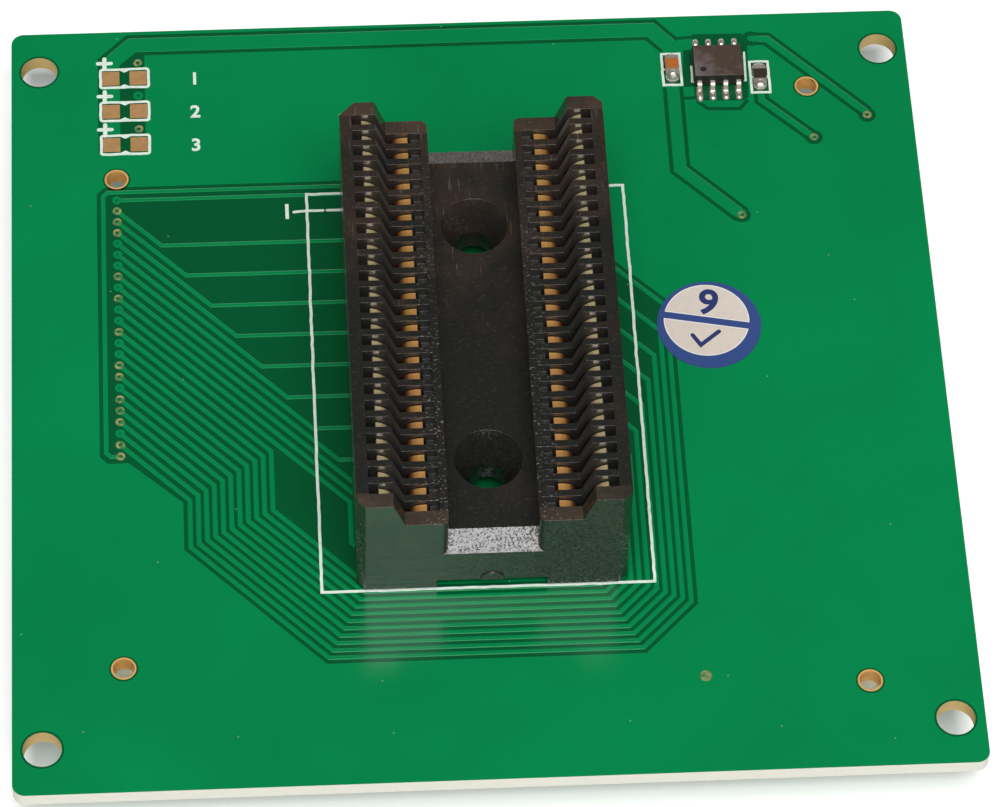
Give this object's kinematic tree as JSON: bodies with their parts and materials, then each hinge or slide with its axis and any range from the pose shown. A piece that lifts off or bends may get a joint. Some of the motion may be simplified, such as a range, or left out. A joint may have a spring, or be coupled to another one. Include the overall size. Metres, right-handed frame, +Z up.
{
  "type": "ic programming adapter",
  "caption": "Flat circuit board with a long open-top spring-contact socket in its middle, a small control chip, and shrouded headers underneath that plug into a programmer.",
  "frame": {"origin": "centre of the box in plan, at the rims of the headers on which the adapter stands", "axes": "+X to the right seen from the front edge, +Y away from the front edge along the socket, +Z up out of the socket"},
  "size_m": [0.0874, 0.085, 0.0217],
  "materials": {
    "solder_mask_laminate": "green solder mask over glass laminate",
    "plated_copper": "plated",
    "socket_plastic": "moulded, semi gloss",
    "spring_bronze": "gold-plated spring sheet",
    "solder": "bright solder",
    "chip_moulding": "moulded, matt",
    "tinned_metal": "tin plated",
    "capacitor_ceramic": "fired ceramic",
    "resistor_ceramic": "fired alumina",
    "resistor_film": "glazed film",
    "sticker_paper": "printed",
    "header_plastic": "moulded, natural cream"
  },
  "bodies": {
    "adapter": {"board": "solder_mask_laminate", "guide_barrels": "plated_copper", "via_barrels": "plated_copper", "led_pads": "plated_copper", "test_pad": "plated_copper", "socket_body": "socket_plastic", "left_contact_bases": "spring_bronze", "right_contact_bases": "spring_bronze", "contact_solder": "solder", "chip_body": "chip_moulding", "chip_legs_formed": "tinned_metal", "chip_pads": "solder", "capacitor_body": "capacitor_ceramic", "capacitor_ends": "tinned_metal", "resistor_body": "resistor_ceramic", "resistor_film": "resistor_film", "resistor_ends": "tinned_metal", "passive_solder": "solder", "inspection_sticker": "sticker_paper", "left_header_housing": "header_plastic", "left_header_contacts": "plated_copper", "right_header_housing": "header_plastic", "right_header_contacts": "plated_copper", "header_pads": "solder"},
    "left_outer_leaves": {"left_outer_leaves": "spring_bronze"},
    "left_inner_leaves": {"left_inner_leaves": "spring_bronze"},
    "right_outer_leaves": {"right_outer_leaves": "spring_bronze"},
    "right_inner_leaves": {"right_inner_leaves": "spring_bronze"}
  },
  "joints": [
    {"name": "left_outer_flex", "type": "hinge", "parent": "adapter", "child": "left_outer_leaves", "pos_m": [-0.00955, 0, 0.01055], "axis": [0, -1, 0], "range_deg": [0, 3.5], "stiffness_Nm_per_rad": 1.6},
    {"name": "left_inner_flex", "type": "hinge", "parent": "adapter", "child": "left_inner_leaves", "pos_m": [-0.00655, 0, 0.01055], "axis": [0, 1, 0], "range_deg": [0, 4], "stiffness_Nm_per_rad": 1.6},
    {"name": "right_outer_flex", "type": "hinge", "parent": "adapter", "child": "right_outer_leaves", "pos_m": [0.00955, 0, 0.01055], "axis": [0, 1, 0], "range_deg": [0, 3.5], "stiffness_Nm_per_rad": 1.6},
    {"name": "right_inner_flex", "type": "hinge", "parent": "adapter", "child": "right_inner_leaves", "pos_m": [0.00655, 0, 0.01055], "axis": [0, -1, 0], "range_deg": [0, 4], "stiffness_Nm_per_rad": 1.6}
  ]
}
